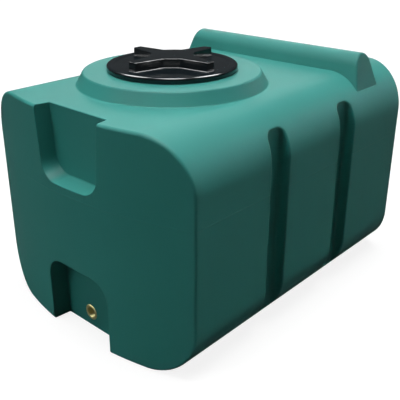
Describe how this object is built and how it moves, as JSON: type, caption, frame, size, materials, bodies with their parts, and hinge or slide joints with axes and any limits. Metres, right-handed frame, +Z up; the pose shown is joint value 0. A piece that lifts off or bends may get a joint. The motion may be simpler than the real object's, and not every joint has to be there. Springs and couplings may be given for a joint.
{
  "type": "water tank",
  "caption": "Rounded box-shaped moulded water tank with a raised round mouth and screw lid, a ridge on top, strap grooves, a hand recess and a threaded outlet insert in a recess at its foot.",
  "frame": {"origin": "middle of the rectangle that the tank covers on the floor, at floor level", "axes": "+X along the length towards the ridge end, so the outlet and the hand recess face -X; +Y across the width; +Z up"},
  "size_m": [0.957, 0.66, 0.6153],
  "materials": {
    "tank_plastic": "rotomoulded polyethylene, satin with a fine grain",
    "lid_plastic": "glossy black polypropylene",
    "gasket_rubber": "plain black rubber",
    "insert_brass": "turned brass"
  },
  "bodies": {
    "tank": {"tank_body": "tank_plastic", "outlet_insert": "insert_brass"},
    "seal": {"lid_gasket": "gasket_rubber"},
    "lid": {"screw_lid": "lid_plastic"}
  },
  "joints": [
    {"name": "lid_lift", "type": "slide", "parent": "tank", "child": "seal", "axis": [0, 0, 1], "range_m": [0, 0.036]},
    {"name": "lid_turn", "type": "hinge", "parent": "seal", "child": "lid", "pos_m": [-0.1235, 0.0135, 0.6], "axis": [0, 0, 1], "range_deg": [0, 1080]}
  ],
  "couplings": [
    {"joint": "lid_lift", "follows": "lid_turn", "m_per_rad": 0.0019099}
  ]
}
